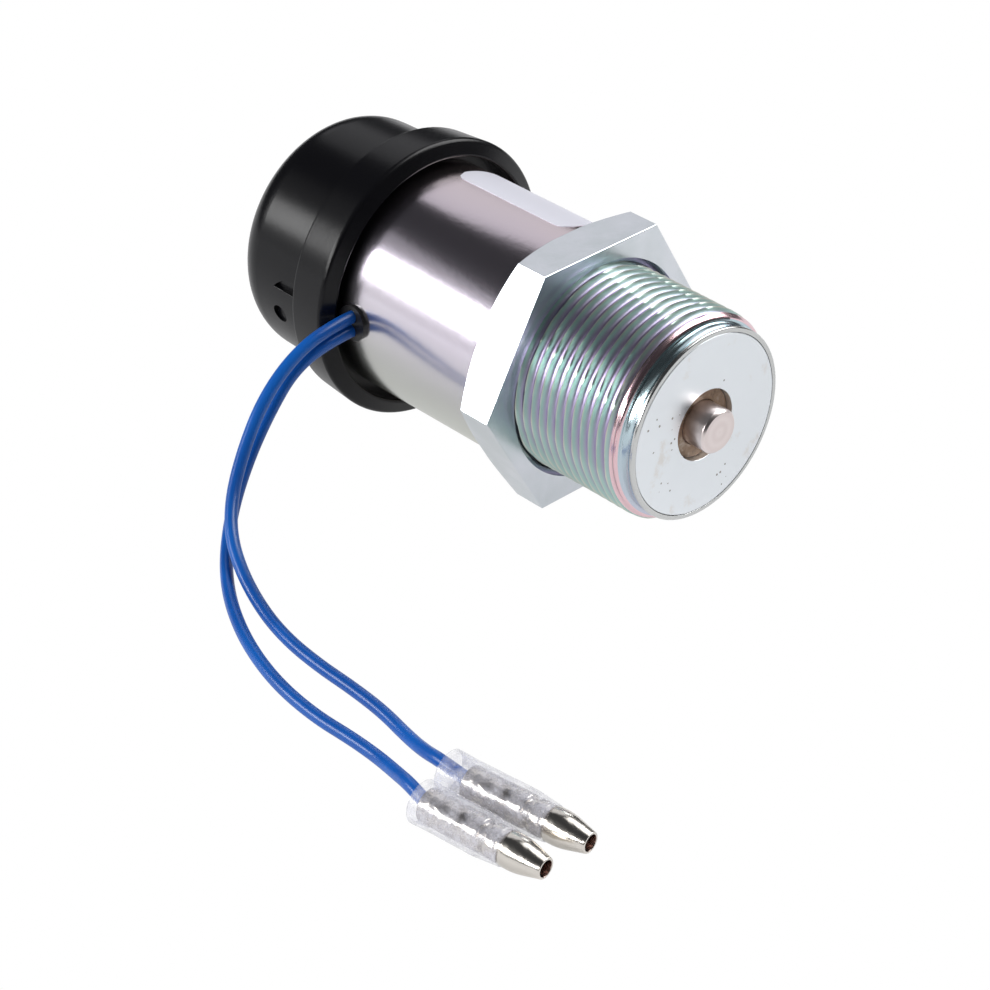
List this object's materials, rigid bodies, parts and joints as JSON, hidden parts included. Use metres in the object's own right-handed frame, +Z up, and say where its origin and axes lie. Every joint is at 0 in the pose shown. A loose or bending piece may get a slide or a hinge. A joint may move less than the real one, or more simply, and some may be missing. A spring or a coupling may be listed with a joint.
{
  "type": "fuel shutoff solenoid",
  "caption": "Round fuel shutoff solenoid with a threaded nose, hexagon lock nut, spring-returned push pin, rubber rear boot and two blue leads ending in sleeved bullet connectors.",
  "frame": {"origin": "on the solenoid's axis, in the plane of the lock nut's front face, which seats on the pump body", "axes": "+X along the axis, out of the threaded nose; +Z up, with a flat of the lock nut up and down; the leads leave towards -Y"},
  "size_m": [0.1101, 0.0877, 0.0416],
  "materials": {
    "yellow_zinc": "zinc plated with a yellow iridescent passivation, satin",
    "clear_zinc": "zinc plated with a clear blue passivation, satin",
    "plate_zinc": "zinc plated, pressed and turned",
    "sintered_bronze": "sintered bronze, oily",
    "pole_steel": "turned soft iron",
    "seal_rubber": "moulded nitrile",
    "washer_brass": "stamped brass, non-magnetic",
    "pin_steel": "ground stainless steel",
    "armature_steel": "turned soft iron, nickel plated",
    "spring_steel": "drawn spring wire",
    "tube_brass": "deep drawn brass",
    "bumper_rubber": "moulded rubber",
    "washer_steel": "pressed spring steel",
    "bobbin_nylon": "moulded natural nylon",
    "winding_copper": "enamelled copper wire",
    "wrap_tape": "polyester tape",
    "plate_steel": "blanked soft iron",
    "boot_rubber": "moulded black rubber, satin",
    "grommet_rubber": "moulded black rubber",
    "joint_solder": "soldered copper",
    "lead_blue": "extruded blue vinyl, glossy",
    "sleeve_clear": "clear soft vinyl",
    "bullet_nickel": "nickel plated brass"
  },
  "bodies": {
    "housing": {"case": "yellow_zinc", "nose_plate": "plate_zinc", "front_bush": "sintered_bronze", "front_pole": "pole_steel", "pole_seal": "seal_rubber", "stop_washer": "washer_brass", "return_spring": "spring_steel", "guide_tube": "tube_brass", "rear_bumper": "bumper_rubber", "spring_washer": "washer_steel", "bobbin": "bobbin_nylon", "winding": "winding_copper", "coil_wrap": "wrap_tape", "rear_plate": "plate_steel", "rubber_boot": "boot_rubber", "grommet": "grommet_rubber", "lead_joint_a": "joint_solder", "lead_joint_b": "joint_solder", "lead_a": "lead_blue", "lead_b": "lead_blue", "sleeve_a": "sleeve_clear", "sleeve_b": "sleeve_clear", "bullet_a": "bullet_nickel", "bullet_b": "bullet_nickel"},
    "lock_nut": {"lock_nut": "clear_zinc"},
    "plunger": {"pin": "pin_steel", "armature": "armature_steel"}
  },
  "joints": [
    {"name": "plunger_slide", "type": "slide", "parent": "housing", "child": "plunger", "axis": [1, 0, 0], "range_m": [0, 0.006], "stiffness_N_per_m": 800, "springref_m": -0.006, "deforming": ["return_spring"]},
    {"name": "lock_nut_turn", "type": "hinge", "parent": "housing", "child": "lock_nut", "pos_m": [0, 0, 0], "axis": [1, 0, 0], "continuous": true}
  ]
}
